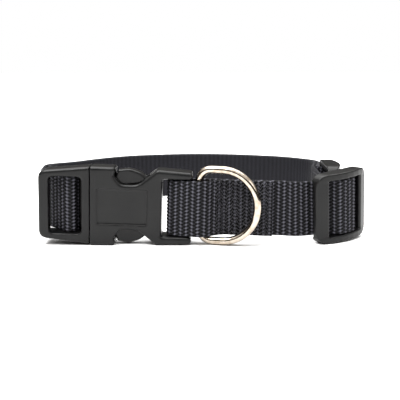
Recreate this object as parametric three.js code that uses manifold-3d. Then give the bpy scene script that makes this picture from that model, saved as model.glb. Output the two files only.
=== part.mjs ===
// Webbing dog collar: one strap, a side-release buckle, a lead ring and two slides,
// fastened into a loop that stands on its lower edge.
// Millimetres, +Z up. The buckle and the ring face -Y.
import * as THREE from 'three';
import { mergeVertices } from 'three/addons/utils/BufferGeometryUtils.js';
import Module from 'manifold-3d';

const wasm = await Module();
wasm.setup();

// Webbing
const webWidth = 25.4;
const webThickness = 1.7;
const layerGap = 0.3;
const clearance = 0.3;

// Loop in plan, measured to the middle of the outer layer
const loopLeft = 77.1;
const loopRightFromTail = 33.4;
const loopDepthShare = 0.739;
const backBendShift = 6.05;

// Seat of the buckle: its strap bar, its heading in plan and its roll
const strapBarX = -10.3;
const buckleHeading = -1.5;
const buckleRoll = 1.9;

// Buckle, both halves
const buckleThickness = 11;
const buckleHeight = 35.6;
const buckleEdge = 1.2;
const cornerSpare = 0.1;
const partingGap = 0.3;
const trimLength = 3;

// Socket half, measured from the parting line
const shoulderLength = 11.8;
const shoulderUndercut = 1.2;
const shoulderDrop = 3.6;
const waistHeight = 20.4;
const waistStart = 13.6;
const waistEnd = 21;
const earStart = 29.8;
const earHeight = 34.4;
const earTipHeight = 32.4;
const socketLength = 45.6;
const slotStart = 32;
const strapBarPlace = 38.3;
const strapBarRadius = 2.2;
const plateThickness = 2.4;
const sideWall = 2.4;
const pocketLength = 28;
const panelStart = 3;
const panelLength = 22.4;
const panelHeight = 16.2;
const panelDepth = 0.4;

// Plug half, measured from the parting line towards the other end
const plugLength = 23.2;
const plugThickness = 10.4;
const plugEndHeight = 30.6;
const plugLip = 2.6;
const plugLipThickness = 1;
const windowNear = 3.8;
const windowFar = 18.7;
const windowCorner = 2;
const endBarThickness = 5.2;
const wrapBarPlace = 9.6;
const wrapBarRadius = 1.8;
const wrapBarDepth = 0.8;
const prongArm = 2.8;
const prongRoot = 8.2;
const prongReach = 27;
const prongHeight = 34;
const tongueLength = 22;
const prongHook = 8;
const tongueHeight = 8;
const tongueThickness = 4.4;

// Play between the webbing's edges and a frame that it runs through
const edgePlay = 0.4;

// Lead ring: round wire bent to a D
const ringHeight = 36;
const ringDepth = 29.9;
const ringWire = 3.5;
const ringCorner = 3;
const ringFromEar = 3.9;
const ringSwing = 9;
const ringClearance = 1.6;

// End of the strap that is folded round the strap bar and sewn down
const tailLength = 43.9;
const foldRise = 7;
const foldSlope = 5;

// Slides
const slideHeight = 32.1;
const slideLength = 31.4;
const slideCurve = 33;
const slideMiddle = 8;
const slideEndBar = 3.8;
const slideEndWidth = 6.1;
const slideEndRounding = 2.2;
const slideEndSlack = 0.3;
const slideCorner = 5;
const slideBarRadius = 1.2;
const slideBarWidth = 4.8;
const slideBarDepth = 5.6;
const frontSlideHeading = 34;
const frontSlideTilt = 3.7;
const frontSlideStand = 0.9;
const frontSlideY = -4.4;
const frontBulge = 1.8;
const rearSlideHeading = 87;
const rearSlideStand = 3.2;
const rearSlideY = 26;
const foldBackPlace = -7.5;

// Heights of the strap's middle above the ground
const groundGap = 0.05;
const dropStartLeft = 2;
const dropStartRight = 36;
const dropEnd = 97;

// The strap's lean beside the buckle fades out along the front and up the side
const leanStart = 5;
const leanEnd = 30;
const leanSideStart = 8;
const leanSideEnd = 45;

// The strap tilts with the front slide, up to these distances beside and behind it
const besideSlideStart = 18;
const besideSlideEnd = 40;
const behindSlideStart = 10;
const behindSlideEnd = 17;

// Colours
const blackWeb = new THREE.MeshStandardMaterial({ color: 0x1a1a1d, roughness: 0.85, metalness: 0 });
const blackPlastic = new THREE.MeshStandardMaterial({ color: 0x262729, roughness: 0.55, metalness: 0 });
const nickel = new THREE.MeshStandardMaterial({ color: 0xc9c2b8, roughness: 0.2, metalness: 1 });

const degrees = Math.PI / 180;
const lapPitch = webThickness + layerGap;
const wrap = clearance + webThickness / 2;

// Seats in plan: local +x runs along the strap, local +y points into the loop
function seat(x, y, heading) {
  const along = [Math.cos(heading * degrees), Math.sin(heading * degrees)];
  return {
    x,
    y,
    heading,
    point: (u, w) => [x + u * along[0] - w * along[1], y + u * along[1] + w * along[0]],
  };
}

const baseHeading = -6;
const loopRight = strapBarX + tailLength + loopRightFromTail;
const loopBack = loopDepthShare * (loopLeft + loopRight);
const ringPlace = socketLength - strapBarPlace + ringFromEar;
const strapBarY = -(strapBarRadius + wrap);
const baseSeat = seat(strapBarX, 0, baseHeading);
const buckleSeat = seat(strapBarX, strapBarY, buckleHeading);
const ringWrap = ringWire / 2 + ringClearance + webThickness / 2;
const ringSeat = seat(...baseSeat.point(ringPlace, -ringWrap), baseHeading - ringSwing);

// A slide's face is an arc; its depth behind the middle of the face at a place u
function faceFall(u) {
  return slideCurve - Math.sqrt(slideCurve * slideCurve - u * u);
}

const frontSlideX = loopRight + frontSlideStand;
const rearSlideX = loopRight + rearSlideStand;
const frontSlideSeat = seat(frontSlideX, frontSlideY, frontSlideHeading);
const rearSlideSeat = seat(rearSlideX, rearSlideY, rearSlideHeading);

// The strap runs as a belt runs over pulleys. Each stop is a circle that the middle of the
// strap keeps to: turn 1 keeps the circle on the left of the way, -1 on the right.
function tangentHeading(from, to) {
  const dx = to.at[0] - from.at[0];
  const dy = to.at[1] - from.at[1];
  const offset = (to.turn * to.r - from.turn * from.r) / Math.hypot(dx, dy);
  return Math.atan2(dy, dx) - Math.asin(offset);
}

function turnAngle(before, after, turn) {
  const full = 2 * Math.PI;
  const change = turn * (after - before);
  return ((change % full) + full) % full;
}

// A circle inside its neighbour, or one that the strap would have to circle, isn't touched
function touchedStops(stops) {
  const kept = [...stops];
  for (let i = 0; i + 1 < kept.length; i += 1) {
    const [a, b] = [kept[i], kept[i + 1]];
    const distance = Math.hypot(b.at[0] - a.at[0], b.at[1] - a.at[1]);
    if (Math.abs(b.turn * b.r - a.turn * a.r) >= distance) {
      kept.splice(a.r < b.r ? i : i + 1, 1);
      return touchedStops(kept);
    }
  }
  for (let i = 1; i + 1 < kept.length; i += 1) {
    const before = tangentHeading(kept[i - 1], kept[i]);
    const after = tangentHeading(kept[i], kept[i + 1]);
    if (turnAngle(before, after, kept[i].turn) > 1.5 * Math.PI) {
      kept.splice(i, 1);
      return touchedStops(kept);
    }
  }
  return kept;
}

const chordSag = 0.04;
const longestStep = 9;
const widestTurn = 15 * degrees;

function beltLine(stops) {
  const kept = touchedStops(stops);
  const line = [];
  const add = (centre, radius, turn, heading) => {
    const left = [-Math.sin(heading), Math.cos(heading)];
    const [x, y] = [centre[0] - turn * radius * left[0], centre[1] - turn * radius * left[1]];
    const last = line[line.length - 1];
    const run = last ? Math.hypot(x - last.x, y - last.y) : 0;
    const pieces = Math.ceil(run / longestStep);
    for (let i = 1; i < pieces; i += 1) {
      const share = i / pieces;
      line.push({ x: last.x + (x - last.x) * share, y: last.y + (y - last.y) * share, left });
    }
    if (!last || run > 0.05) line.push({ x, y, left });
  };
  kept.forEach((stop, i) => {
    const next = kept[i + 1];
    const previous = kept[i - 1];
    const before = previous ? tangentHeading(previous, stop) : tangentHeading(stop, next);
    const after = next ? tangentHeading(stop, next) : before;
    const angle = stop.r > 0 ? turnAngle(before, after, stop.turn) : 0;
    const step = Math.min(widestTurn, 2 * Math.acos(1 - chordSag / Math.max(stop.r, 1)));
    const count = Math.max(1, Math.ceil(angle / step));
    for (let k = 0; k <= count; k += 1) {
      add(stop.at, stop.r, stop.turn, before + (stop.turn * angle * k) / count);
    }
  });
  return line;
}

// Stops at the bars
const strapBarStop = { at: buckleSeat.point(0, 0), r: strapBarRadius + wrap };
const ringBarStop = { at: [ringSeat.x, ringSeat.y], r: ringWrap };
const wrapBarStop = {
  at: buckleSeat.point(-strapBarPlace - wrapBarPlace, wrapBarDepth),
  r: wrapBarRadius + wrap,
};

function slideBarStops(slideSeat, extra, bulge) {
  const reach = slideBarWidth / 2 - slideBarRadius;
  const r = slideBarRadius + wrap + extra;
  return [-reach, reach + bulge].map((u) => ({ at: slideSeat.point(u, slideBarDepth), r }));
}

function slideEndStop(slideSeat, side, layers) {
  const u = side * (slideLength / 2 - slideEndWidth / 2);
  const r = slideEndWidth / 2;
  const w = faceFall(slideLength / 2) + slideEndBar - r;
  return { at: slideSeat.point(u, w), r: r + slideEndSlack + wrap + layers * lapPitch };
}

const onLeft = (stop) => ({ ...stop, turn: 1 });
const onRight = (stop) => ({ ...stop, turn: -1 });

// Bends of the loop, walked anticlockwise from the rear slide. The wide bend of the back
// comes first; the two bends beside it run into it, and the two at the left stand on the side.
const bendSlack = 0.7;
const backBend = { x: (loopRight - loopLeft) / 2 + backBendShift, radius: 0.957 * loopBack };

function besideBack(x, radius) {
  const reach = backBend.radius - radius + bendSlack;
  const rise = Math.sqrt(reach * reach - (x - backBend.x) * (x - backBend.x));
  return { x, y: loopBack - backBend.radius + rise, radius };
}

const rightRadius = 0.325 * loopBack;
const leftBackRadius = 0.469 * loopBack;
const leftRadius = 0.325 * loopBack;
const leftFrontRadius = 0.182 * loopBack;
const leftFrontInset = 2.7;
const loopBends = [
  besideBack(loopRight - rightRadius, rightRadius),
  { x: backBend.x, y: loopBack - backBend.radius, radius: backBend.radius },
  besideBack(-0.245 * loopLeft, leftBackRadius),
  { x: leftRadius - loopLeft, y: 0.383 * loopBack, radius: leftRadius },
  { x: leftFrontRadius + leftFrontInset - loopLeft, y: 0.172 * loopBack, radius: leftFrontRadius },
];

function loopStops(inset) {
  return loopBends.map((bend) => ({ at: [bend.x, bend.y], r: bend.radius - inset }));
}

// The inner layer leaves the plug's bar on the side of the loop, so its last bend is tighter
function innerStops() {
  const stops = loopStops(lapPitch);
  const left = stops[3];
  const front = stops[4];
  const tighter = front.r - wrapBarRadius - wrap - webThickness;
  const [dx, dy] = [front.at[0] - left.at[0], front.at[1] - left.at[1]];
  const reach = (left.r - tighter + 2 * bendSlack) / Math.hypot(dx, dy);
  stops[4] = { at: [left.at[0] + dx * reach, left.at[1] + dy * reach], r: tighter };
  return stops.reverse();
}

// The strap from the sewn end, round the strap bar, through the slides, round the back,
// over the plug's bar, back inside itself, and round the front slide's middle bar
function strapStops() {
  const sewnInset = -lapPitch;
  const stiffEnd = tailLength + 4;
  const easyBend = 30;
  const frontBars = slideBarStops(frontSlideSeat, lapPitch, frontBulge);
  const innerBars = slideBarStops(frontSlideSeat, 0, 0);
  const rearBars = slideBarStops(rearSlideSeat, 0, 0);
  const behindSlide = faceFall(slideLength / 2) + slideEndBar + 2 * slideEndSlack + wrap;
  const foldBackEnd = rearSlideSeat.point(foldBackPlace, behindSlide + 2 * lapPitch);
  return [
    { at: baseSeat.point(tailLength, sewnInset), r: 0, turn: 1 },
    { at: baseSeat.point(ringPlace + foldRise + foldSlope, sewnInset - foldRise), r: foldRise, turn: 1 },
    onRight(ringBarStop),
    onRight(strapBarStop),
    { at: baseSeat.point(stiffEnd, easyBend), r: easyBend, turn: 1 },
    onRight(slideEndStop(frontSlideSeat, -1, 0)),
    onLeft(frontBars[0]),
    onLeft(frontBars[1]),
    onRight(slideEndStop(rearSlideSeat, -1, 0)),
    onLeft(rearBars[0]),
    onLeft(rearBars[1]),
    onRight(slideEndStop(rearSlideSeat, 1, 0)),
    ...loopStops(0).map(onLeft),
    onLeft(wrapBarStop),
    ...innerStops().map(onRight),
    onLeft(slideEndStop(rearSlideSeat, 1, 1)),
    onLeft(slideEndStop(rearSlideSeat, -1, 1)),
    onRight(innerBars[1]),
    onRight(innerBars[0]),
    onRight(slideEndStop(rearSlideSeat, -1, 2)),
    { at: foldBackEnd, r: 0, turn: 1 },
  ];
}

// Height of the strap's middle over a place in plan
const shoulderRise = (strapBarPlace - shoulderLength) * Math.sin(buckleRoll * degrees);
const strapBarHeight = buckleHeight / 2 - shoulderRise + groundGap;
const slideSeatHeight = slideHeight / 2 + groundGap;
const tiltedHalfLength = (slideLength / 2 - slideCorner) * Math.sin(frontSlideTilt * degrees);
const tiltedHalfHeight = (slideHeight / 2 - slideCorner) * Math.cos(frontSlideTilt * degrees);
const frontSeatHeight = tiltedHalfLength + tiltedHalfHeight + slideCorner + groundGap;
const ringSeatHeight = ringHeight / 2 + 4 * groundGap;

function easeDown(value, start, end) {
  const share = THREE.MathUtils.clamp((value - start) / (end - start), 0, 1);
  return 1 - share * share * (3 - 2 * share);
}

// How far along the front slide a place lies, and how fully the strap there follows its tilt
function besideFrontSlide(x, y) {
  const [dx, dy] = [x - frontSlideX, y - frontSlideY];
  const heading = frontSlideHeading * degrees;
  const u = dx * Math.cos(heading) + dy * Math.sin(heading);
  const w = dy * Math.cos(heading) - dx * Math.sin(heading);
  const beside = easeDown(Math.abs(u), besideSlideStart, besideSlideEnd);
  return { u, share: beside * easeDown(w, behindSlideStart, behindSlideEnd) };
}

function strapMiddle(x, y) {
  const rollRise = Math.tan(buckleRoll * degrees);
  const frontEnd = frontSlideX - slideLength / 2;
  const alongFront = THREE.MathUtils.clamp((x - strapBarX) / (frontEnd - strapBarX), 0, 1);
  const { u, share } = besideFrontSlide(x, y);
  const tiltRise = frontSeatHeight - slideSeatHeight + u * Math.tan(frontSlideTilt * degrees);
  const front = x < strapBarX
    ? strapBarHeight + rollRise * (strapBarX - x)
    : THREE.MathUtils.lerp(strapBarHeight, slideSeatHeight, alongFront) + share * tiltRise;
  const start = x < 0 ? dropStartLeft : dropStartRight;
  return THREE.MathUtils.lerp(webWidth / 2, front, easeDown(y, start, dropEnd));
}

// The strap leans with the buckle and with the front slide, as their bars do
function strapLean(x, y) {
  const alongFront = easeDown(x, strapBarX + leanStart, strapBarX + leanEnd);
  const upSide = easeDown(y, leanSideStart, leanSideEnd);
  const withBuckle = Math.tan(buckleRoll * degrees) * alongFront * upSide;
  const withSlide = -Math.tan(frontSlideTilt * degrees) * besideFrontSlide(x, y).share;
  const [first, second] = [buckleHeading * degrees, frontSlideHeading * degrees];
  return [
    withBuckle * Math.cos(first) + withSlide * Math.cos(second),
    withBuckle * Math.sin(first) + withSlide * Math.sin(second),
  ];
}

function strapGeometry() {
  const line = beltLine(strapStops());
  const half = webThickness / 2;
  const leftEdge = line.map((p) => new THREE.Vector2(p.x + p.left[0] * half, p.y + p.left[1] * half));
  const rightEdge = line.map((p) => new THREE.Vector2(p.x - p.left[0] * half, p.y - p.left[1] * half));
  const shape = new THREE.Shape([...leftEdge, ...rightEdge.reverse()]);
  const band = new THREE.ExtrudeGeometry(shape, { depth: webWidth, bevelEnabled: false });
  band.translate(0, 0, -webWidth / 2);
  const place = band.getAttribute('position');
  for (let i = 0; i < place.count; i += 1) {
    const [x, y, z] = [place.getX(i), place.getY(i), place.getZ(i)];
    const [leanX, leanY] = strapLean(x, y);
    place.setXYZ(i, x + leanX * z, y + leanY * z, z + strapMiddle(x, y));
  }
  return band;
}

// Solids that are joined and cut
function solid(geometry) {
  const bare = geometry.clone();
  bare.deleteAttribute('normal');
  bare.deleteAttribute('uv');
  const merged = mergeVertices(bare, 1e-4);
  return new wasm.Manifold(new wasm.Mesh({
    numProp: 3,
    vertProperties: Float32Array.from(merged.getAttribute('position').array),
    triVerts: Uint32Array.from(merged.getIndex().array),
  }));
}

function geometryOf(manifold) {
  const mesh = manifold.getMesh();
  const geometry = new THREE.BufferGeometry();
  geometry.setAttribute('position', new THREE.BufferAttribute(mesh.vertProperties, 3));
  geometry.setIndex(new THREE.BufferAttribute(mesh.triVerts, 1));
  geometry.computeVertexNormals();
  return geometry;
}

const straightCorner = 89 * degrees;

// An outline from its corners, each row [x, y, radius of the rounding]
function outline(corners) {
  const points = [];
  corners.forEach(([x, y, radius], i) => {
    const corner = new THREE.Vector2(x, y);
    const [px, py] = corners[(i + corners.length - 1) % corners.length];
    const [nx, ny] = corners[(i + 1) % corners.length];
    const toPrevious = new THREE.Vector2(px - x, py - y).normalize();
    const toNext = new THREE.Vector2(nx - x, ny - y).normalize();
    const half = Math.acos(THREE.MathUtils.clamp(toPrevious.dot(toNext), -1, 1)) / 2;
    if (radius <= 0 || half > straightCorner) {
      points.push(corner);
      return;
    }
    const reach = radius / Math.tan(half);
    const start = corner.clone().addScaledVector(toPrevious, reach);
    const end = corner.clone().addScaledVector(toNext, reach);
    const curve = new THREE.QuadraticBezierCurve(start, corner, end);
    const arc = new THREE.Vector2().addVectors(toPrevious, toNext).normalize();
    const centre = corner.clone().addScaledVector(arc, radius / Math.sin(half));
    const count = Math.max(2, Math.round((Math.PI - 2 * half) / (22 * degrees)));
    for (let k = 0; k <= count; k += 1) {
      const guide = curve.getPoint(k / count).sub(centre).setLength(radius);
      points.push(centre.clone().add(guide));
    }
  });
  return new THREE.Shape(points);
}

function mirrored(upper) {
  const lower = upper.map(([x, z, radius]) => [x, -z, radius]).reverse();
  return outline([...upper, ...lower]);
}

// A plate with its outline in x and z, from one depth to another, outward being -y
function plate(shape, from, to, edge) {
  const geometry = new THREE.ExtrudeGeometry(shape, {
    depth: to - from - 2 * edge,
    bevelEnabled: edge > 0,
    bevelThickness: edge,
    bevelSize: edge,
    bevelOffset: -edge,
    bevelSegments: 3,
  });
  geometry.translate(0, 0, from + edge);
  return geometry.rotateX(Math.PI / 2);
}

function block(x0, x1, y0, y1, z0, z1) {
  const box = new THREE.BoxGeometry(x1 - x0, y1 - y0, z1 - z0);
  return box.translate((x0 + x1) / 2, (y0 + y1) / 2, (z0 + z1) / 2);
}

function upright(radius, height, x, y) {
  const rod = new THREE.CylinderGeometry(radius, radius, height, 16);
  return rod.rotateX(Math.PI / 2).translate(x, y, 0);
}

const channelHalf = webWidth / 2 + edgePlay;

// Socket half of the buckle. Local x is measured from its strap bar.
function socketGeometry() {
  const x = (place) => place - strapBarPlace;
  const top = buckleHeight / 2;
  const waist = waistHeight / 2;
  const ear = earHeight / 2;
  const tip = earTipHeight / 2;
  const body = mirrored([
    [x(-trimLength), top, 0],
    [x(shoulderLength), top, buckleEdge + 3 * cornerSpare],
    [x(shoulderLength - shoulderUndercut), top - shoulderDrop, buckleEdge + cornerSpare],
    [x(waistStart), waist, 2.6],
    [x(waistEnd), waist, 6],
    [x(earStart), ear, buckleEdge + 6 * cornerSpare],
    [x(socketLength), tip, buckleEdge + 4 * cornerSpare],
    [x(socketLength), channelHalf, buckleEdge + cornerSpare],
    [x(slotStart), channelHalf, 1],
  ]);
  const half = buckleThickness / 2;
  const pocketHalf = half - plateThickness;
  const pocketTop = top - sideWall;
  const beyond = top + 5;
  const openingStart = waistStart - 1;
  const pocket = mirrored([
    [x(-1), pocketTop, 0],
    [x(openingStart), pocketTop, 0],
    [x(openingStart), beyond, 0],
    [x(waistEnd + 3), beyond, 0],
    [x(waistEnd + 3), pocketTop, 0],
    [x(pocketLength), pocketTop - 2, 1],
  ]);
  const panel = plate(mirrored([
    [x(panelStart), panelHeight / 2, 0.8],
    [x(panelStart + panelLength), panelHeight / 2, 0.8],
  ]), half - panelDepth, half + 1, 0);
  const bar = upright(strapBarRadius, 2 * channelHalf + 1, 0, 0);
  const trim = block(x(-trimLength - 1), x(0), -half - 1, half + 1, -top - 1, top + 1);
  return geometryOf(solid(plate(body, -half, half, buckleEdge))
    .subtract(solid(trim))
    .subtract(solid(plate(pocket, -pocketHalf, pocketHalf, 0)))
    .subtract(solid(panel))
    .add(solid(bar)));
}

// Plug half of the buckle: the frame that the strap is wound through, and its prongs
function plugGeometry() {
  const x = (place) => place - strapBarPlace;
  const half = plugThickness / 2;
  const shoulder = buckleHeight / 2 - 0.1;
  const frame = mirrored([
    [x(-plugLength), plugEndHeight / 2, 3.4],
    [x(-partingGap), shoulder, 0],
    [x(trimLength), shoulder, 0],
  ]);
  const opening = mirrored([
    [x(-windowFar), channelHalf, windowCorner],
    [x(-windowNear), channelHalf, windowCorner],
  ]);
  const prongTop = prongHeight / 2;
  const prongStart = shoulderLength + 0.5;
  const prong = [
    [x(-windowNear / 2), prongRoot, 0],
    [x(-windowNear / 2), prongRoot + prongArm, 0],
    [x(prongStart - 2), prongRoot + prongArm + 1, 1],
    [x(prongStart), prongTop - 0.6, 0.8],
    [x(prongStart + 5), prongTop, 6],
    [x(waistEnd + 1.5), prongTop - 1.6, 6],
    [x(prongReach), waistHeight / 2 + 1, 1],
    [x(prongReach - prongHook), waistHeight / 2 - 0.2, 3],
    [x(prongStart - 2), prongRoot + 0.4, 3],
  ];
  const prongHalf = buckleThickness / 2 - plateThickness - clearance;
  const prongs = [1, -1].map((side) => {
    const rows = prong.map(([u, z, radius]) => [u, side * z, radius]);
    return solid(plate(outline(side > 0 ? rows : rows.reverse()), -prongHalf, prongHalf, 0.6));
  });
  const tongue = block(x(-windowNear / 2), x(tongueLength), -tongueThickness / 2, tongueThickness / 2,
    -tongueHeight / 2, tongueHeight / 2);
  const strapWay = block(x(-plugLength - 1), x(-windowFar + windowCorner), -(half - endBarThickness),
    half + 1, -channelHalf, channelHalf);
  const lip = block(x(-windowNear - plugLip), x(-windowNear / 2), half - plugLipThickness, half,
    -channelHalf - 1, channelHalf + 1);
  const bar = upright(wrapBarRadius, 2 * channelHalf + 1, x(-wrapBarPlace), wrapBarDepth);
  const trim = block(x(-partingGap), x(trimLength + 1), -half - 1, half + 1,
    -shoulder - 1, shoulder + 1);
  return geometryOf(solid(plate(frame, -half, half, buckleEdge))
    .subtract(solid(trim))
    .subtract(solid(plate(opening, -half - 1, half + 1, 0)))
    .subtract(solid(strapWay))
    .add(solid(bar))
    .add(solid(lip))
    .add(prongs[0])
    .add(prongs[1])
    .add(solid(tongue)));
}

// A band of the slide's plan between two depths behind its face
function slideBand(from, to, depthAt, height, z) {
  const count = 8;
  const places = Array.from({ length: count + 1 }, (_, i) => from + ((to - from) * i) / count);
  const face = places.map((u) => new THREE.Vector2(u, faceFall(u)));
  const back = places.map((u) => new THREE.Vector2(u, depthAt(u))).reverse();
  const band = new THREE.ExtrudeGeometry(new THREE.Shape([...face, ...back]), {
    depth: height,
    bevelEnabled: false,
  });
  return band.translate(0, 0, z - height / 2);
}

function slideGeometry() {
  const half = slideLength / 2;
  const innerHalf = half - slideEndWidth;
  const endDepth = faceFall(half) + slideEndBar;
  const railHeight = slideHeight / 2 - channelHalf;
  const railPlace = channelHalf + railHeight / 2;
  const railDepth = (u) => THREE.MathUtils.lerp(slideMiddle, endDepth, (u * u) / (half * half));
  const rails = [1, -1].map((side) => solid(
    slideBand(-half, half, railDepth, railHeight, side * railPlace)));
  const ends = [-1, 1].map((side) => {
    const rows = [
      [half, faceFall(half), 1],
      [innerHalf, faceFall(innerHalf), 1],
      [innerHalf, endDepth, slideEndRounding],
      [half, endDepth, slideEndRounding],
    ].map(([u, w, radius]) => [side * u, w, radius]);
    const bar = new THREE.ExtrudeGeometry(outline(rows), { depth: slideHeight, bevelEnabled: false });
    return solid(bar.translate(0, 0, -slideHeight / 2));
  });
  const reach = slideBarWidth / 2 - slideBarRadius;
  const barHeight = 2 * channelHalf + 1;
  const bar = solid(upright(slideBarRadius, barHeight, -reach, slideBarDepth))
    .add(solid(upright(slideBarRadius, barHeight, reach, slideBarDepth)))
    .add(solid(block(-reach, reach, slideBarDepth - slideBarRadius, slideBarDepth + slideBarRadius,
      -barHeight / 2, barHeight / 2)));
  const corners = mirrored([
    [-half, slideHeight / 2, slideCorner],
    [half, slideHeight / 2, slideCorner],
  ]);
  const envelope = solid(plate(corners, -slideMiddle - 2, 2, 0));
  return geometryOf(rails[0].add(rails[1]).add(ends[0]).add(ends[1]).add(bar).intersect(envelope));
}

// Middle line of the ring's wire: its bar, two rounded corners and a half circle
class RingLine extends THREE.Curve {
  constructor() {
    super();
    const bow = (ringHeight - ringWire) / 2;
    const depth = ringDepth - ringWire;
    const straight = bow - ringCorner;
    const flat = depth - bow - ringCorner;
    this.parts = [
      { length: 2 * straight, at: (s) => [0, -straight + s] },
      this.bend(ringCorner, straight, ringCorner, 180, -90),
      { length: flat, at: (s) => [ringCorner + s, bow] },
      this.bend(ringCorner + flat, 0, bow, 90, -180),
      { length: flat, at: (s) => [ringCorner + flat - s, -bow] },
      this.bend(ringCorner, -straight, ringCorner, 270, -90),
    ];
    this.total = this.parts.reduce((sum, part) => sum + part.length, 0);
  }

  bend(x, z, radius, start, sweep) {
    const length = Math.abs(sweep) * degrees * radius;
    const at = (s) => {
      const angle = (start + (sweep * s) / length) * degrees;
      return [x + radius * Math.cos(angle), z + radius * Math.sin(angle)];
    };
    return { length, at };
  }

  getPoint(t, target = new THREE.Vector3()) {
    let run = (((t % 1) + 1) % 1) * this.total;
    const part = this.parts.find((piece) => {
      if (run <= piece.length) return true;
      run -= piece.length;
      return false;
    });
    const [x, z] = part.at(run);
    return target.set(x, 0, z);
  }
}

function ringGeometry() {
  return new THREE.TubeGeometry(new RingLine(), 56, ringWire / 2, 12, true);
}

function named(name, geometry, material) {
  const bare = geometry.clone();
  bare.deleteAttribute('normal');
  bare.deleteAttribute('uv');
  const merged = mergeVertices(bare, 1e-4);
  merged.computeVertexNormals();
  const mesh = new THREE.Mesh(merged, material);
  mesh.name = name;
  return mesh;
}

function placed(mesh, place, height, roll) {
  mesh.position.set(place.x, place.y, height);
  mesh.rotation.set(0, roll * degrees, place.heading * degrees, 'ZYX');
  return mesh;
}

const collar = new THREE.Group();
collar.name = 'dog_collar';
collar.add(named('webbing_strap', strapGeometry(), blackWeb));
collar.add(placed(named('buckle_socket', socketGeometry(), blackPlastic),
  buckleSeat, strapBarHeight, buckleRoll));
collar.add(placed(named('buckle_plug', plugGeometry(), blackPlastic.clone()),
  buckleSeat, strapBarHeight, buckleRoll));
collar.add(placed(named('lead_ring', ringGeometry(), nickel),
  ringSeat, ringSeatHeight, 0));
collar.add(placed(named('front_slide', slideGeometry(), blackPlastic.clone()),
  frontSlideSeat, frontSeatHeight, -frontSlideTilt));
collar.add(placed(named('rear_slide', slideGeometry(), blackPlastic.clone()),
  rearSlideSeat, slideSeatHeight, 0));

// The origin lies on the ground under the middle of the loop
const extent = new THREE.Box3().setFromObject(collar, true);
const middle = extent.getCenter(new THREE.Vector3());
collar.children.forEach((mesh) => mesh.position.sub(new THREE.Vector3(middle.x, middle.y, extent.min.z)));

export default collar;
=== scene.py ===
import math

import bpy
import numpy as np
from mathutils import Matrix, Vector


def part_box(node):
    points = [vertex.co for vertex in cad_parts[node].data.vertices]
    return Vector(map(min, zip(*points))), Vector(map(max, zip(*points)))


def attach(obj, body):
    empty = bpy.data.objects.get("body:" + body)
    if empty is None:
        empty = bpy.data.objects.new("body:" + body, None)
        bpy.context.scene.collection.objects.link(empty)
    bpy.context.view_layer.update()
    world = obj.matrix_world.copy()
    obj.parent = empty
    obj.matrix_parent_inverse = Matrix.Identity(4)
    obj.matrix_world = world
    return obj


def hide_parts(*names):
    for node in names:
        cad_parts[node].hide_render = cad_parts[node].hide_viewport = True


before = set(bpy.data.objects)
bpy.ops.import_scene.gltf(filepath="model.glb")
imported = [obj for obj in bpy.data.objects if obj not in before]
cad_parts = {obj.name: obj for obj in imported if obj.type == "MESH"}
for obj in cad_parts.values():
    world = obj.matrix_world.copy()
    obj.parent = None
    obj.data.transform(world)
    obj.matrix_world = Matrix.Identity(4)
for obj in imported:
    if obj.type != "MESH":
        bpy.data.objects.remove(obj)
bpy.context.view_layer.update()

MM = 0.001

# Sizes of the webbing and of what it runs round, in millimetres and degrees, as the part has them
WEB_WIDTH = 25.4
WEB_THICKNESS = 1.7
LAYER_GAP = 0.3
CLEARANCE = 0.3
GROUND_GAP = 0.05

STRAP_BAR_X = -10.3
STRAP_BAR_RADIUS = 2.2
STRAP_BAR_PLACE = 38.3
WRAP_BAR_PLACE = 9.6
WRAP_BAR_RADIUS = 1.8
WRAP_BAR_DEPTH = 0.8
BUCKLE_HEADING = -1.5
BUCKLE_ROLL = 1.9
BUCKLE_HEIGHT = 35.6
BUCKLE_THICKNESS = 11
SHOULDER_LENGTH = 11.8
SOCKET_LENGTH = 45.6
PANEL_START, PANEL_LENGTH, PANEL_HEIGHT = 3, 22.4, 16.2

BASE_HEADING = -6
TAIL_LENGTH = 43.9
STIFF_LENGTH = 4
EASY_BEND = 30
FOLD_RISE = 7
FOLD_SLOPE = 5

RING_WIRE = 3.5
RING_HEIGHT = 36
RING_DEPTH = 29.9
RING_SWING = 9
RING_LIFT = 0.2
RING_FROM_EAR = 3.9
RING_PLACE = SOCKET_LENGTH - STRAP_BAR_PLACE + RING_FROM_EAR
RING_CLEARANCE = 1.6

SLIDE_HEIGHT = 32.1
SLIDE_LENGTH = 31.4
SLIDE_CORNER = 5
SLIDE_CURVE = 33
SLIDE_END_BAR = 3.8
SLIDE_END_WIDTH = 6.1
SLIDE_END_SLACK = 0.3
SLIDE_BAR_RADIUS = 1.2
SLIDE_BAR_WIDTH = 4.8
SLIDE_BAR_DEPTH = 5.6
FRONT_SLIDE_HEADING = 34
FRONT_SLIDE_TILT = 3.7
FRONT_SLIDE_STAND = 0.9
FRONT_SLIDE_Y = -4.4
FRONT_BULGE = 1.8
REAR_SLIDE_HEADING = 87
REAR_SLIDE_STAND = 3.2
REAR_SLIDE_Y = 26
FOLD_BACK_PLACE = -7.5

LOOP_LEFT = 77.1
LOOP_RIGHT_FROM_TAIL = 33.4
LOOP_RIGHT = STRAP_BAR_X + TAIL_LENGTH + LOOP_RIGHT_FROM_TAIL
LOOP_DEPTH_SHARE = 0.739
LOOP_BACK = LOOP_DEPTH_SHARE * (LOOP_LEFT + LOOP_RIGHT)
BACK_BEND_SHIFT = 6.05
BEND_SLACK = 0.7

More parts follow.
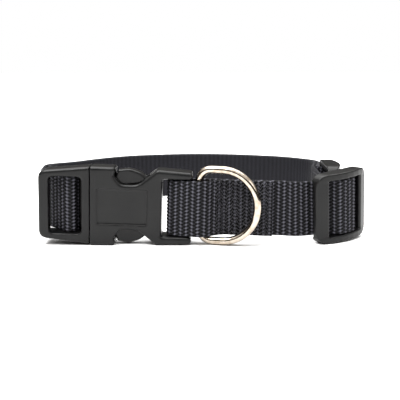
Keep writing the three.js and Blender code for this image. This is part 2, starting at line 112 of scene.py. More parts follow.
# Bends of the loop: radii and places as shares of its depth, the left back one's x of its left side
BACK_RADIUS_SHARE = 0.957
RIGHT_RADIUS_SHARE = 0.325
LEFT_BACK_X_SHARE, LEFT_BACK_RADIUS_SHARE = -0.245, 0.469
LEFT_Y_SHARE, LEFT_RADIUS_SHARE = 0.383, 0.325
LEFT_FRONT_Y_SHARE, LEFT_FRONT_RADIUS_SHARE = 0.172, 0.182
LEFT_FRONT_INSET = 2.7

# Stretches in plan over which the strap comes down to the ground, and over which its lean fades
DROP_START_LEFT, DROP_START_RIGHT, DROP_END = 2, 36, 97
LEAN_START, LEAN_END, LEAN_SIDE_START, LEAN_SIDE_END = 5, 30, 8, 45
BESIDE_SLIDE, BEHIND_SLIDE = (18, 40), (10, 17)

LAP = WEB_THICKNESS + LAYER_GAP
WRAP = CLEARANCE + WEB_THICKNESS / 2
TOO_FAR_ROUND = 1.5 * math.pi
WAY_SAMPLES = 3000

# Sizes that only the look has
RING_BEND = 5.2
RING_POINTS = 160
PANEL_CORNER = 0.9
PANEL_CORNER_STEPS = 4
PANEL_LINE_RADIUS = 0.17
# A dark plate behind the plug's window stands in for the shade there. These give its x and y spans
# from the strap bar, and half its height.
SHADE_PLATE_X = (-STRAP_BAR_PLACE - 7.1, -STRAP_BAR_PLACE - 3.6)
SHADE_PLATE_Y = (4.2, 5.15)
SHADE_PLATE_HALF = 13.2


def rad(degrees):
    return degrees * math.pi / 180


def seat(x, y, heading):
    c, s = math.cos(rad(heading)), math.sin(rad(heading))
    return lambda u, w: (x + u * c - w * s, y + u * s + w * c)


def face_fall(u):
    return SLIDE_CURVE - math.sqrt(SLIDE_CURVE * SLIDE_CURVE - u * u)


strap_bar_y = -(STRAP_BAR_RADIUS + WRAP)
base = seat(STRAP_BAR_X, 0, BASE_HEADING)
buckle = seat(STRAP_BAR_X, strap_bar_y, BUCKLE_HEADING)
ring_wrap = RING_WIRE / 2 + RING_CLEARANCE + WEB_THICKNESS / 2
ring_place = base(RING_PLACE, -ring_wrap)
front_x = LOOP_RIGHT + FRONT_SLIDE_STAND
front_slide = seat(front_x, FRONT_SLIDE_Y, FRONT_SLIDE_HEADING)
rear_slide = seat(LOOP_RIGHT + REAR_SLIDE_STAND, REAR_SLIDE_Y, REAR_SLIDE_HEADING)


# The strap's way in plan, worked out as the part works it out: a belt over round stops. A stop is
# (x, y, radius, turn), with turn 1 for a stop on the left of the way and -1 for one on its right.
def tangent_heading(a, b):
    dx, dy = b[0] - a[0], b[1] - a[1]
    offset = (b[3] * b[2] - a[3] * a[2]) / math.hypot(dx, dy)
    return math.atan2(dy, dx) - math.asin(offset)


def turn_angle(before, after, turn):
    return (turn * (after - before)) % (2 * math.pi)


def touched(stops):
    """The stops without those inside a neighbour, and those that the strap would have to circle."""
    kept = list(stops)
    for i in range(len(kept) - 1):
        a, b = kept[i], kept[i + 1]
        if abs(b[3] * b[2] - a[3] * a[2]) >= math.hypot(b[0] - a[0], b[1] - a[1]):
            del kept[i if a[2] < b[2] else i + 1]
            return touched(kept)
    for i in range(1, len(kept) - 1):
        before = tangent_heading(kept[i - 1], kept[i])
        after = tangent_heading(kept[i], kept[i + 1])
        if turn_angle(before, after, kept[i][3]) > TOO_FAR_ROUND:
            del kept[i]
            return touched(kept)
    return kept


def slide_bars(slide, extra, bulge, turn):
    reach = SLIDE_BAR_WIDTH / 2 - SLIDE_BAR_RADIUS
    r = SLIDE_BAR_RADIUS + WRAP + extra
    return [(*slide(u, SLIDE_BAR_DEPTH), r, turn) for u in (-reach, reach + bulge)]


def slide_end(slide, side, layers, turn):
    r = SLIDE_END_WIDTH / 2
    u = side * (SLIDE_LENGTH / 2 - r)
    w = face_fall(SLIDE_LENGTH / 2) + SLIDE_END_BAR - r
    return (*slide(u, w), r + SLIDE_END_SLACK + WRAP + layers * LAP, turn)


back_x = (LOOP_RIGHT - LOOP_LEFT) / 2 + BACK_BEND_SHIFT
back_radius = BACK_RADIUS_SHARE * LOOP_BACK


def beside_back(x, radius):
    reach = back_radius - radius + BEND_SLACK
    rise = math.sqrt(reach * reach - (x - back_x) ** 2)
    return (x, LOOP_BACK - back_radius + rise, radius)


right_radius = RIGHT_RADIUS_SHARE * LOOP_BACK
left_back_radius = LEFT_BACK_RADIUS_SHARE * LOOP_BACK
left_radius = LEFT_RADIUS_SHARE * LOOP_BACK
left_front_radius = LEFT_FRONT_RADIUS_SHARE * LOOP_BACK
left_front_x = left_front_radius + LEFT_FRONT_INSET - LOOP_LEFT
bends = [
    beside_back(LOOP_RIGHT - right_radius, right_radius),
    (back_x, LOOP_BACK - back_radius, back_radius),
    beside_back(LEFT_BACK_X_SHARE * LOOP_LEFT, left_back_radius),
    (left_radius - LOOP_LEFT, LEFT_Y_SHARE * LOOP_BACK, left_radius),
    (left_front_x, LEFT_FRONT_Y_SHARE * LOOP_BACK, left_front_radius),
]


def loop_stops(inset, turn):
    return [(x, y, r - inset, turn) for x, y, r in bends]


def inner_stops():
    stops = loop_stops(LAP, -1)
    left, front = stops[-2:]
    tighter = front[2] - WRAP_BAR_RADIUS - WRAP - WEB_THICKNESS
    dx, dy = front[0] - left[0], front[1] - left[1]
    reach = (left[2] - tighter + 2 * BEND_SLACK) / math.hypot(dx, dy)
    stops[-1] = (left[0] + dx * reach, left[1] + dy * reach, tighter, -1)
    return stops[::-1]


def strap_stops():
    fold_back_w = face_fall(SLIDE_LENGTH / 2) + SLIDE_END_BAR + 2 * SLIDE_END_SLACK + WRAP + 2 * LAP
    outer_bars = slide_bars(front_slide, LAP, FRONT_BULGE, 1)
    inner_bars = slide_bars(front_slide, 0, 0, -1)
    rear_bars = slide_bars(rear_slide, 0, 0, 1)
    return [
        (*base(TAIL_LENGTH, -LAP), 0, 1),
        (*base(RING_PLACE + FOLD_RISE + FOLD_SLOPE, -LAP - FOLD_RISE), FOLD_RISE, 1),
        (*ring_place, ring_wrap, -1),
        (*buckle(0, 0), STRAP_BAR_RADIUS + WRAP, -1),
        (*base(TAIL_LENGTH + STIFF_LENGTH, EASY_BEND), EASY_BEND, 1),
        slide_end(front_slide, -1, 0, -1),
        *outer_bars,
        slide_end(rear_slide, -1, 0, -1),
        *rear_bars,
        slide_end(rear_slide, 1, 0, -1),
        *loop_stops(0, 1),
        (*buckle(-STRAP_BAR_PLACE - WRAP_BAR_PLACE, WRAP_BAR_DEPTH), WRAP_BAR_RADIUS + WRAP, 1),
        *inner_stops(),
        slide_end(rear_slide, 1, 1, 1),
        slide_end(rear_slide, -1, 1, 1),
        inner_bars[1],
        inner_bars[0],
        slide_end(rear_slide, -1, 2, -1),
        (*rear_slide(FOLD_BACK_PLACE, fold_back_w), 0, 1),
    ]


def belt_pieces():
    """Pieces of the way, each (length, x, y, heading, bend).

    A straight piece has its start at x, y and bend 0. A round one has its centre there, and its
    bend is the radius, negative where the way turns right.
    """
    kept = touched(strap_stops())
    made = []
    last = None
    for i, (cx, cy, r, turn) in enumerate(kept):
        before = tangent_heading(kept[i - 1], kept[i]) if i else tangent_heading(kept[0], kept[1])
        after = tangent_heading(kept[i], kept[i + 1]) if i + 1 < len(kept) else before
        start = (cx + turn * r * math.sin(before), cy - turn * r * math.cos(before))
        if last:
            run = math.hypot(start[0] - last[0], start[1] - last[1])
            made.append((run, last[0], last[1], before, 0))
        angle = turn_angle(before, after, turn) if r > 0 else 0
        if angle > 0:
            made.append((angle * r, cx, cy, before, turn * r))
        last = (cx + turn * r * math.sin(after), cy - turn * r * math.cos(after))
    return made


def along(pieces, places):
    """x, y and heading at each run along the way."""
    ends = np.cumsum([p[0] for p in pieces])
    out = np.zeros((len(places), 3))
    for k, s in enumerate(places):
        i = min(int(np.searchsorted(ends, s)), len(pieces) - 1)
        length, x, y, heading, bend = pieces[i]
        run = s - (ends[i] - length)
        if bend:
            h = heading + run / bend
            out[k] = (x + bend * math.sin(h), y - bend * math.cos(h), h)
        else:
            out[k] = (x + run * math.cos(heading), y + run * math.sin(heading), heading)
    return out


# Height and lean of the strap over a place in plan
tilt = rad(FRONT_SLIDE_TILT)
shoulder_rise = (STRAP_BAR_PLACE - SHOULDER_LENGTH) * math.sin(rad(BUCKLE_ROLL))
strap_bar_height = BUCKLE_HEIGHT / 2 - shoulder_rise + GROUND_GAP
slide_seat_height = SLIDE_HEIGHT / 2 + GROUND_GAP
tilted_half_length = (SLIDE_LENGTH / 2 - SLIDE_CORNER) * math.sin(tilt)
tilted_half_height = (SLIDE_HEIGHT / 2 - SLIDE_CORNER) * math.cos(tilt)
front_seat_height = tilted_half_length + tilted_half_height + SLIDE_CORNER + GROUND_GAP


def ease_down(value, start, end):
    share = np.clip((value - start) / (end - start), 0, 1)
    return 1 - share * share * (3 - 2 * share)


def beside_front_slide(x, y):
    """Place along the front slide, and how fully the strap there follows its tilt."""
    heading = rad(FRONT_SLIDE_HEADING)
    dx, dy = x - front_x, y - FRONT_SLIDE_Y
    u = dx * math.cos(heading) + dy * math.sin(heading)
    w = dy * math.cos(heading) - dx * math.sin(heading)
    return u, ease_down(np.abs(u), *BESIDE_SLIDE) * ease_down(w, *BEHIND_SLIDE)


def strap_middle(x, y):
    share = np.clip((x - STRAP_BAR_X) / (front_x - SLIDE_LENGTH / 2 - STRAP_BAR_X), 0, 1)
    u, follow = beside_front_slide(x, y)
    front = strap_bar_height + (slide_seat_height - strap_bar_height) * share
    front = front + follow * (front_seat_height - slide_seat_height + u * math.tan(tilt))
    left = strap_bar_height + math.tan(rad(BUCKLE_ROLL)) * (STRAP_BAR_X - x)
    front = np.where(x < STRAP_BAR_X, left, front)
    start = np.where(x < 0, DROP_START_LEFT, DROP_START_RIGHT)
    return WEB_WIDTH / 2 + (front - WEB_WIDTH / 2) * ease_down(y, start, DROP_END)


def strap_lean(x, y):
    along_front = ease_down(x, STRAP_BAR_X + LEAN_START, STRAP_BAR_X + LEAN_END)
    up_side = ease_down(y, LEAN_SIDE_START, LEAN_SIDE_END)
    with_buckle = math.tan(rad(BUCKLE_ROLL)) * along_front * up_side
    with_slide = -math.tan(tilt) * beside_front_slide(x, y)[1]
    first, second = rad(BUCKLE_HEADING), rad(FRONT_SLIDE_HEADING)
    return (with_buckle * math.cos(first) + with_slide * math.cos(second),
            with_buckle * math.sin(first) + with_slide * math.sin(second))


# The part's origin lies under the middle of its box; the way above is measured from the strap bar
way = belt_pieces()
way_length = sum(p[0] for p in way)
sample = along(way, np.linspace(0, way_length, WAY_SAMPLES))
both_edges = np.array([[1], [-1]]) * WEB_THICKNESS / 2
edge_x = sample[:, 0] + both_edges * np.sin(sample[:, 2])
edge_y = sample[:, 1] + both_edges * np.cos(sample[:, 2])
web_low, web_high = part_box("webbing_strap")
shift_x = web_low.x / MM - edge_x.min()
shift_y = web_high.y / MM - edge_y.max()


# Meshes
def linked(name, mesh, smooth=True):
    if smooth:
        mesh.polygons.foreach_set("use_smooth", [True] * len(mesh.polygons))
    obj = bpy.data.objects.new(name, mesh)
    bpy.context.collection.objects.link(obj)
    return obj


def new_object(name, verts, faces, smooth=True):
    mesh = bpy.data.meshes.new(name)
    mesh.from_pydata(verts, [], faces)
    mesh.update()
    return linked(name, mesh, smooth)


def evaluated_mesh(obj):
    depsgraph = bpy.context.evaluated_depsgraph_get()
    return bpy.data.meshes.new_from_object(obj.evaluated_get(depsgraph))


def swept(name, radius, resolution, lines, cyclic=False):
    """Round wire or thread, its radius in millimetres, along lines of places in metres."""
    curve = bpy.data.curves.new(name, "CURVE")
    curve.dimensions = "3D"
    curve.bevel_depth = radius * MM
    curve.bevel_resolution = resolution
    for line in lines:
        spline = curve.splines.new("POLY")
        spline.points.add(len(line) - 1)
        spline.points.foreach_set("co", np.column_stack([line, np.ones(len(line))]).reshape(-1))
        spline.use_cyclic_u = cyclic
    loose = bpy.data.objects.new(name, curve)
    bpy.context.collection.objects.link(loose)
    mesh = evaluated_mesh(loose)
    bpy.data.objects.remove(loose)
    return linked(name, mesh)


# Weave: columns of knots along the strap, with pits beside them. Places and sizes in a column are
# shares of its width, and across the strap they are shares of a row.
COLUMN = 2.59
ROW = WEB_WIDTH / 16
SLANT = 0.9
KNOT_ALONG, KNOT_ACROSS = 0.2, 0.24
PIT_PLACE, PIT_ALONG, PIT_ACROSS = 0.32, 0.14, 0.24
SEAM_WIDTH = 0.07
WEAVE_LEVEL, KNOT_RISE, PIT_FALL, SEAM_FALL = 0.5, 0.5, 1.1, 0.05
RIB_LEVEL, RIB_SWING = 0.5, 0.2
KNOT_TRACE, KNOT_TRACE_LEVEL = 0.12, 0.45

# Relief of the weave and of the strap's edges, in millimetres
CROWN = 0.2
WEAVE_DEPTH = 0.65
FACE_INSET = 0.05
EDGE_POINTS = 4
EDGE_RIPPLE = 0.1
UV_PER_MM = 0.01


def bump_at(u, w, along_size, across_size):
    """A round bump at every whole w, seen from the place u along the column."""
    r = w - np.round(w)
    return np.exp(-((u / along_size) ** 2 + (r / across_size) ** 2) / 2)


def weave_share(s, v):
    """Woven face from 0 in the pits to 1 on the knots, each column half a row from the next."""
    column = np.floor(s / COLUMN)
    u = s / COLUMN - column - 0.5
    odd = np.mod(column, 2)
    w = v / ROW + 0.5 * odd + (odd - 0.5) * SLANT * u
    knots = bump_at(u, w, KNOT_ALONG, KNOT_ACROSS)
    pits = bump_at(u - PIT_PLACE, w + 0.5, PIT_ALONG, PIT_ACROSS)
    pits = pits + bump_at(u + PIT_PLACE, w + 0.5, PIT_ALONG, PIT_ACROSS)
    seam = np.exp(-(((0.5 - np.abs(u)) / SEAM_WIDTH) ** 2) / 2)
    return np.clip(WEAVE_LEVEL + KNOT_RISE * knots - PIT_FALL * pits - SEAM_FALL * seam, 0, 1)


def rib_share(s, v):
    """Smoother side of the webbing: upright ribs with a trace of the knots."""
    ribs = RIB_LEVEL + RIB_SWING * np.cos(2 * math.pi * s / COLUMN)
    return np.clip(ribs + KNOT_TRACE * (weave_share(s, v) - KNOT_TRACE_LEVEL), 0, 1)


def on_strap(s, v, off):
    """Places in metres: s along the strap, v up its width, off to the left of its middle."""
    x, y, heading = along(way, s).T
    lean_x, lean_y = strap_lean(x, y)
    px = x[:, None] - np.sin(heading)[:, None] * off + lean_x[:, None] * v
    py = y[:, None] + np.cos(heading)[:, None] * off + lean_y[:, None] * v
    pz = v + strap_middle(x, y)[:, None]
    return np.stack([px + shift_x, py + shift_y, pz], -1) * MM


def band(name, start, end, step, rows, relief, weave):
    """A stretch of the strap with round edges, its woven faces in relief."""
    count = round((end - start) / step)
    s = np.linspace(start, end, count + 1)
    half, thick = WEB_WIDTH / 2, WEB_THICKNESS / 2
    flat = np.linspace(-half + thick, half - thick, rows)
    arc = np.linspace(-math.pi / 2, math.pi / 2, EDGE_POINTS + 2)[1:-1]
    v = np.concatenate([flat, half - thick + thick * np.cos(arc),
                        flat[::-1], -half + thick - thick * np.cos(arc)])
    side = np.concatenate([-np.ones(rows), np.sin(arc), np.ones(rows), np.sin(arc[::-1])])
    face = np.tile(np.concatenate([np.ones(rows), np.zeros(EDGE_POINTS)]), 2)
    grid_s, grid_v = np.meshgrid(s, v, indexing="ij")
    share = weave(grid_s, grid_v)
    height = (CROWN - WEAVE_DEPTH * (1 - share)) * relief * face
    edge = (1 - face) * EDGE_RIPPLE * np.sin(2 * math.pi * grid_s / (COLUMN / 2)) * relief
    off = side * (thick - FACE_INSET) + np.sign(side) * height + side * edge
    verts = on_strap(s, grid_v, off).reshape(-1, 3)
    ring = len(v)
    i, j = np.meshgrid(np.arange(count), np.arange(ring), indexing="ij")
    a = i * ring + j
    b = i * ring + (j + 1) % ring
    faces = np.stack([a, b, b + ring, a + ring], -1).reshape(-1, 4).tolist()
    faces.append(list(range(ring)))
    faces.append(list(range(count * ring, (count + 1) * ring))[::-1])
    obj = new_object(name, verts.tolist(), faces)
    mesh = obj.data
    uv = mesh.uv_layers.new(name="web")
    loops = np.zeros(len(mesh.loops), np.int32)
    mesh.loops.foreach_get("vertex_index", loops)
    flat_uv = np.stack([grid_s, grid_v], -1).reshape(-1, 2)[loops] * UV_PER_MM
    uv.data.foreach_set("uv", flat_uv.reshape(-1))
    # The weave's height share is kept for the webbing materials, which use it to paint shade into
    # the pits and a highlight onto the knots.
    attribute = mesh.attributes.new("weave_shade_and_sheen", "FLOAT", "POINT")
    attribute.data.foreach_set("value", share.reshape(-1).astype(np.float32))
    return obj


# Materials
def material(name):
    mat = bpy.data.materials.new(name)
    mat.use_nodes = True
    return mat, mat.node_tree, mat.node_tree.nodes["Principled BSDF"]


def ramp(tree, fac, stops, socket):
    """Colours at places of fac, linked to a socket."""
    node = tree.nodes.new("ShaderNodeValToRGB")
    elements = node.color_ramp.elements
    while len(elements) < len(stops):
        elements.new(0.5)
    for element, (position, colour) in zip(elements, stops):
        element.position = position
        element.color = (*colour, 1)
    tree.links.new(fac, node.inputs["Fac"])
    tree.links.new(node.outputs["Color"], socket)


def noise(tree, vector, scale, detail):
    node = tree.nodes.new("ShaderNodeTexNoise")
    node.inputs["Scale"].default_value = scale
    node.inputs["Detail"].default_value = detail
    tree.links.new(vector, node.inputs["Vector"])
    return node.outputs["Fac"]


def object_place(tree):
    return tree.nodes.new("ShaderNodeTexCoord").outputs["Object"]


def vary_roughness(tree, shader, value, low, high):
    node = tree.nodes.new("ShaderNodeMapRange")
    node.inputs["To Min"].default_value = low
    node.inputs["To Max"].default_value = high
    tree.links.new(value, node.inputs["Value"])
    tree.links.new(node.outputs["Result"], shader.inputs["Roughness"])


def grain(tree, shader, height, strength, distance):
    node = tree.nodes.new("ShaderNodeBump")
    node.inputs["Strength"].default_value = strength
    node.inputs["Distance"].default_value = distance
    tree.links.new(height, node.inputs["Height"])
    tree.links.new(node.outputs["Normal"], shader.inputs["Normal"])


# low, middle and high are the webbing's colours in the pits, between them and on the knots: the
# near-black pits are painted shade, and the light knot tops are a painted sheen.
def webbing_material(name, low, middle, high):
    mat, tree, shader = material(name)
    mix = tree.nodes.new("ShaderNodeMix")
    mix.data_type = "RGBA"
    mix.blend_type = "MULTIPLY"
    mix.inputs["Factor"].default_value = 0.7
    tree.links.new(mix.outputs["Result"], shader.inputs["Base Color"])
    weave_shade_and_sheen = tree.nodes.new("ShaderNodeAttribute")
    weave_shade_and_sheen.attribute_name = "weave_shade_and_sheen"
    # Painted shade and highlight: the colour runs from near black in the pits to light on the knot
    # tops, following the weave's height.
    ramp(tree, weave_shade_and_sheen.outputs["Fac"], [(0.08, low), (0.45, middle), (0.95, high)], mix.inputs["A"])
    uv = tree.nodes.new("ShaderNodeUVMap")
    uv.uv_map = "web"
    stretch = tree.nodes.new("ShaderNodeMapping")
    stretch.inputs["Scale"].default_value = (160, 900, 1)
    tree.links.new(uv.outputs["UV"], stretch.inputs["Vector"])
    fibres = noise(tree, stretch.outputs["Vector"], scale=1, detail=3)
    ramp(tree, fibres, [(0.3, (0.45, 0.45, 0.47)), (0.7, (1.25, 1.25, 1.3))], mix.inputs["B"])
    grain(tree, shader, fibres, strength=0.5, distance=0.0001)
    shader.inputs["Roughness"].default_value = 0.62
    shader.inputs["Specular IOR Level"].default_value = 0.12
    shader.inputs["Sheen Weight"].default_value = 0.03
    shader.inputs["Sheen Roughness"].default_value = 0.4
    return mat


def plastic_material():
    mat, tree, shader = material("moulded_plastic")
    place = object_place(tree)
    fine = noise(tree, place, scale=2600, detail=2)
    cloud = noise(tree, place, scale=90, detail=3)
    stops = [(0.3, (0.003, 0.003, 0.0032)), (0.7, (0.0055, 0.0055, 0.0055))]
    ramp(tree, cloud, stops, shader.inputs["Base Color"])
    vary_roughness(tree, shader, fine, low=0.26, high=0.38)
    grain(tree, shader, fine, strength=0.35, distance=0.00006)
    shader.inputs["Specular IOR Level"].default_value = 0.22
    return mat


def nickel_material():
    mat, tree, shader = material("nickel_wire")
    cloud = noise(tree, object_place(tree), scale=420, detail=4)
    stops = [(0.35, (0.33, 0.27, 0.21)), (0.6, (0.5, 0.44, 0.37))]
    ramp(tree, cloud, stops, shader.inputs["Base Color"])
    vary_roughness(tree, shader, cloud, low=0.08, high=0.2)
    grain(tree, shader, cloud, strength=0.15, distance=0.0001)
    shader.inputs["Metallic"].default_value = 1
    return mat


def thread_material():
    mat, tree, shader = material("black_thread")
    twist = noise(tree, object_place(tree), scale=1400, detail=2)
    stops = [(0.35, (0.002, 0.002, 0.0025)), (0.7, (0.06, 0.06, 0.07))]
    ramp(tree, twist, stops, shader.inputs["Base Color"])
    shader.inputs["Roughness"].default_value = 0.5
    shader.inputs["Specular IOR Level"].default_value = 0.3
    return mat


plastic = plastic_material()
nickel = nickel_material()
thread = thread_material()
# Webbing colours from the pits to the knot tops: the pits are painted shade and the knot tops
# painted sheen. The smoother inner side has a darker, flatter set.
web_front = webbing_material(
    "webbing_front", (0.0001, 0.0001, 0.0002), (0.025, 0.025, 0.03), (0.105, 0.104, 0.122))
web_back = webbing_material(
    "webbing_back", (0.0025, 0.0025, 0.003), (0.0115, 0.0115, 0.0142), (0.019, 0.019, 0.0235))


def finish_piece(obj, mat, body, slot, *nodes):
    obj.data.materials.clear()
    obj.data.materials.append(mat)
    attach(obj, body)
    if nodes:
        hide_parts(*nodes)


# Webbing in stretches that follow one another: name, start, end, step, rows across a face, share of
# the relief, weave and material
FRONT_END = 165
SIDE_END = 245
BACK_END = 440
WRAP_END = 480
stretches = [
    ("webbing_front", 0, FRONT_END, 0.3, 84, 1, weave_share, web_front),
    ("webbing_side", FRONT_END, SIDE_END, 0.5, 52, 0.6, weave_share, web_front),
    ("webbing_back", SIDE_END, BACK_END, 0.5, 52, 0.45, weave_share, web_front),
    ("webbing_wrap", BACK_END, WRAP_END, 0.3, 84, 1, weave_share, web_front),
    ("webbing_inner", WRAP_END, way_length, 0.5, 44, 0.45, rib_share, web_back),
]
for name, start, end, step, rows, relief, weave, mat in stretches:
    piece = band(name, start, end, step, rows, relief, weave)
    finish_piece(piece, mat, "collar", "webbing", "webbing_strap")


# Stitches that sew the folded end down: rows of zigzag thread over its last part
STITCH_START, STITCH_END, STITCH_STEP = 1.0, 27.5, 0.95
STITCH_ROWS = 15
STITCH_MARGIN = 1.6
STITCH_SWING = 0.75
SWING_LEAST, SWING_MOST = 0.5, 1.3
STITCH_DRIFT = 0.3
STITCH_SEED = 7
THREAD_RADIUS = 0.24
THREAD_INSET = 0.05
THREAD_SINK = 0.3


def stitching(name):
    draw = np.random.default_rng(STITCH_SEED)
    reach = WEB_WIDTH / 2 - STITCH_MARGIN
    lines = []
    for row in np.linspace(-reach, reach, STITCH_ROWS):
        s = np.arange(STITCH_START, STITCH_END, STITCH_STEP)
        s = s + draw.uniform(-STITCH_DRIFT, STITCH_DRIFT, len(s))
        sides = 1 - 2 * (np.arange(len(s)) % 2)
        swing = STITCH_SWING * sides * draw.uniform(SWING_LEAST, SWING_MOST, len(s))
        sunk = THREAD_INSET + THREAD_SINK * draw.random(len(s)) ** 2
        off = WEB_THICKNESS / 2 + CROWN - sunk
        lines.append(on_strap(s, (row + swing)[:, None], off[:, None])[:, 0])
    return swept(name, THREAD_RADIUS, resolution=0, lines=lines)


finish_piece(stitching("tail_stitches"), thread, "collar", "webbing")


# Details of the buckle
def on_buckle(x, y, z):
    """Place in metres of a point of the buckle: x from its strap bar, y into the loop, z up."""
    roll, heading = rad(BUCKLE_ROLL), rad(BUCKLE_HEADING)
    along_x = x * math.cos(roll) + z * math.sin(roll)
    up = z * math.cos(roll) - x * math.sin(roll) + strap_bar_height
    px = STRAP_BAR_X + along_x * math.cos(heading) - y * math.sin(heading) + shift_x
    py = strap_bar_y + along_x * math.sin(heading) + y * math.cos(heading) + shift_y
    return (px * MM, py * MM, up * MM)


def panel_line(name):
    """Thin line round the bare panel on the socket's face."""
    low = PANEL_START - STRAP_BAR_PLACE
    high = low + PANEL_LENGTH
    top = PANEL_HEIGHT / 2
    corners = [(high, top), (low, top), (low, -top), (high, -top)]
    inward = [(-1, -1), (1, -1), (1, 1), (-1, 1)]
    line = []
    for i, ((x, z), (dx, dz)) in enumerate(zip(corners, inward)):
        for k in range(PANEL_CORNER_STEPS + 1):
            angle = (i + k / PANEL_CORNER_STEPS) * math.pi / 2
            u = x + PANEL_CORNER * (dx + math.cos(angle))
            w = z + PANEL_CORNER * (dz + math.sin(angle))
            line.append(on_buckle(u, -BUCKLE_THICKNESS / 2, w))
    return swept(name, PANEL_LINE_RADIUS, resolution=2, lines=[line], cyclic=True)


def window_shade_plate(name):
    """Dark plate behind the plug's window, beside the strap's turn. It stands in for the shade
    there and hides the floor through the gap.
    """
    corners = [(x, y, z) for x in SHADE_PLATE_X for y in SHADE_PLATE_Y for z in (-SHADE_PLATE_HALF, SHADE_PLATE_HALF)]
    verts = [on_buckle(*corner) for corner in corners]
    faces = [(0, 1, 3, 2), (4, 6, 7, 5), (0, 4, 5, 1), (2, 3, 7, 6), (0, 2, 6, 4), (1, 5, 7, 3)]
    return new_object(name, verts, faces, smooth=False)


finish_piece(panel_line("panel_line"), plastic, "collar", "plastic")
# The dark plate that stands in for the shade inside the plug's window.
finish_piece(window_shade_plate("window_shade_plate"), plastic, "collar", "plastic")


# Moulded pieces: the part's solids with softened edges
def moulded(name, node, voxel):
    obj = linked(name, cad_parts[node].data.copy(), smooth=False)
    remesh = obj.modifiers.new("remesh", "REMESH")
    remesh.mode = "VOXEL"
    remesh.voxel_size = voxel
    smooth = obj.modifiers.new("smooth", "SMOOTH")
    smooth.factor = 0.5
    smooth.iterations = 3
    mesh = evaluated_mesh(obj)
    obj.modifiers.clear()
    obj.data = mesh
    mesh.polygons.foreach_set("use_smooth", [True] * len(mesh.polygons))
    return obj


for name, node, voxel in (
    ("socket_moulding", "buckle_socket", 0.00036),
    ("plug_moulding", "buckle_plug", 0.00036),
    ("front_slide_moulding", "front_slide", 0.00036),
    ("rear_slide_moulding", "rear_slide", 0.0004),
):
    finish_piece(moulded(name, node, voxel), plastic, "collar", "plastic", node)


# Lead ring
def ring_line(t):
    """Middle line of the ring's wire at t from -1 to 1, 0 being the middle of its bar."""
    bow = (RING_HEIGHT - RING_WIRE) / 2
    straight = bow - RING_BEND
    flat = RING_DEPTH - RING_WIRE - bow - RING_BEND
    lengths = [straight, RING_BEND * math.pi / 2, flat, bow * math.pi / 2]
    run = np.abs(t) * sum(lengths)
    ends = np.cumsum(lengths)
    bend = np.clip((run - ends[0]) / RING_BEND, 0, math.pi / 2)
    turn = np.clip((run - ends[2]) / bow, 0, math.pi / 2)
    along_flat = np.clip(run - ends[1], 0, flat)
    u = RING_BEND * (1 - np.cos(bend)) + along_flat + bow * np.sin(turn)
    z = np.minimum(run, straight) + RING_BEND * np.sin(bend) - bow * (1 - np.cos(turn))
    return u, np.sign(t) * z


def ring_wire(name):
    u, z = ring_line(np.linspace(-1, 1, RING_POINTS, endpoint=False))
    heading = rad(BASE_HEADING - RING_SWING)
    x = ring_place[0] + shift_x + u * math.cos(heading)
    y = ring_place[1] + shift_y + u * math.sin(heading)
    line = np.stack([x, y, z + RING_HEIGHT / 2 + RING_LIFT], 1) * MM
    return swept(name, RING_WIRE / 2, resolution=8, lines=[line], cyclic=True)


finish_piece(ring_wire("ring_wire"), nickel, "ring", "ring_metal", "lead_ring")


# Floor
FLOOR_REACH = 3
corners = [(-1, -1), (1, -1), (1, 1), (-1, 1)]
floor = new_object("floor", [(x * FLOOR_REACH, y * FLOOR_REACH, 0) for x, y in corners],
                   [(0, 1, 2, 3)], smooth=False)
floor_material, _, floor_shader = material("floor")
floor_shader.inputs["Base Color"].default_value = (0.93, 0.93, 0.93, 1)
floor_shader.inputs["Roughness"].default_value = 0.8
floor_shader.inputs["Specular IOR Level"].default_value = 0.2
floor.data.materials.append(floor_material)

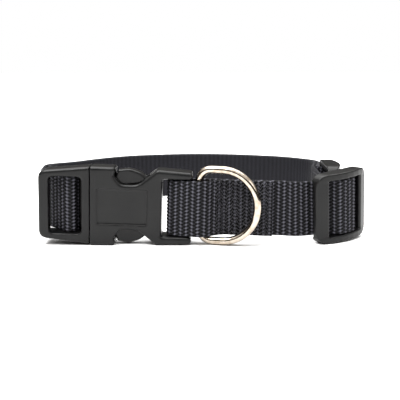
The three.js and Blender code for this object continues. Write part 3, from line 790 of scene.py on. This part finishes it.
# Studio: light comes from high up, and the camera sees white behind the floor
world = bpy.data.worlds.new("studio")
bpy.context.scene.world = world
world.use_nodes = True
sky = world.node_tree
soft = sky.nodes["Background"]
soft.inputs["Strength"].default_value = 1
direction = sky.nodes.new("ShaderNodeTexCoord")
split = sky.nodes.new("ShaderNodeSeparateXYZ")
sky.links.new(direction.outputs["Generated"], split.inputs["Vector"])
dome = [(0.1, (0.015, 0.013, 0.012)), (0.35, (0.12, 0.11, 0.1)), (0.65, (1.5, 1.48, 1.45))]
ramp(sky, split.outputs["Z"], dome, soft.inputs["Color"])
seen = sky.nodes.new("ShaderNodeBackground")
seen.inputs["Color"].default_value = (1, 1, 1, 1)
seen.inputs["Strength"].default_value = 1
rays = sky.nodes.new("ShaderNodeLightPath")
choose = sky.nodes.new("ShaderNodeMixShader")
sky.links.new(rays.outputs["Is Camera Ray"], choose.inputs["Fac"])
sky.links.new(soft.outputs["Background"], choose.inputs[1])
sky.links.new(seen.outputs["Background"], choose.inputs[2])
sky.links.new(choose.outputs["Shader"], sky.nodes["World Output"].inputs["Surface"])


def lamp(name, kind, power):
    data = bpy.data.lights.new(name, kind)
    data.energy = power
    obj = bpy.data.objects.new(name, data)
    bpy.context.collection.objects.link(obj)
    return obj


def panel_lamp(name, place, target, size, power):
    obj = lamp(name, "AREA", power)
    obj.data.shape = "RECTANGLE"
    obj.data.size, obj.data.size_y = size
    obj.location = place
    obj.rotation_euler = (Vector(target) - Vector(place)).to_track_quat("-Z", "Y").to_euler()


panel_lamp("key", (-0.3, -0.35, 0.8), target=(0, 0, 0.02), size=(0.5, 0.3), power=9)
panel_lamp("fill", (0.6, -0.5, 0.45), target=(0, -0.03, 0.02), size=(0.3, 0.3), power=0.8)
overhead = lamp("overhead", "SUN", 3.6)
overhead.data.angle = 1.2
overhead.rotation_euler = (-0.25, 0, 0)

# Camera: its focal length in pixels of the photo, and its pitch and yaw in radians
PHOTO_PIXELS = 400
FOCAL_PIXELS = 668.96
SENSOR_WIDTH = 36
CAMERA_PLACE = (-0.006831, -0.346396, 0.0834218)
PITCH, YAW = 0.211, -0.023
cam_data = bpy.data.cameras.new("camera")
cam_data.sensor_width = SENSOR_WIDTH
cam_data.lens = FOCAL_PIXELS * SENSOR_WIDTH / PHOTO_PIXELS
cam_data.clip_start, cam_data.clip_end = 0.01, 20
camera = bpy.data.objects.new("camera", cam_data)
bpy.context.collection.objects.link(camera)
camera.location = CAMERA_PLACE
camera.rotation_euler = (math.pi / 2 - PITCH, 0, YAW)
bpy.context.scene.camera = camera
bpy.context.scene.view_settings.view_transform = "Standard"
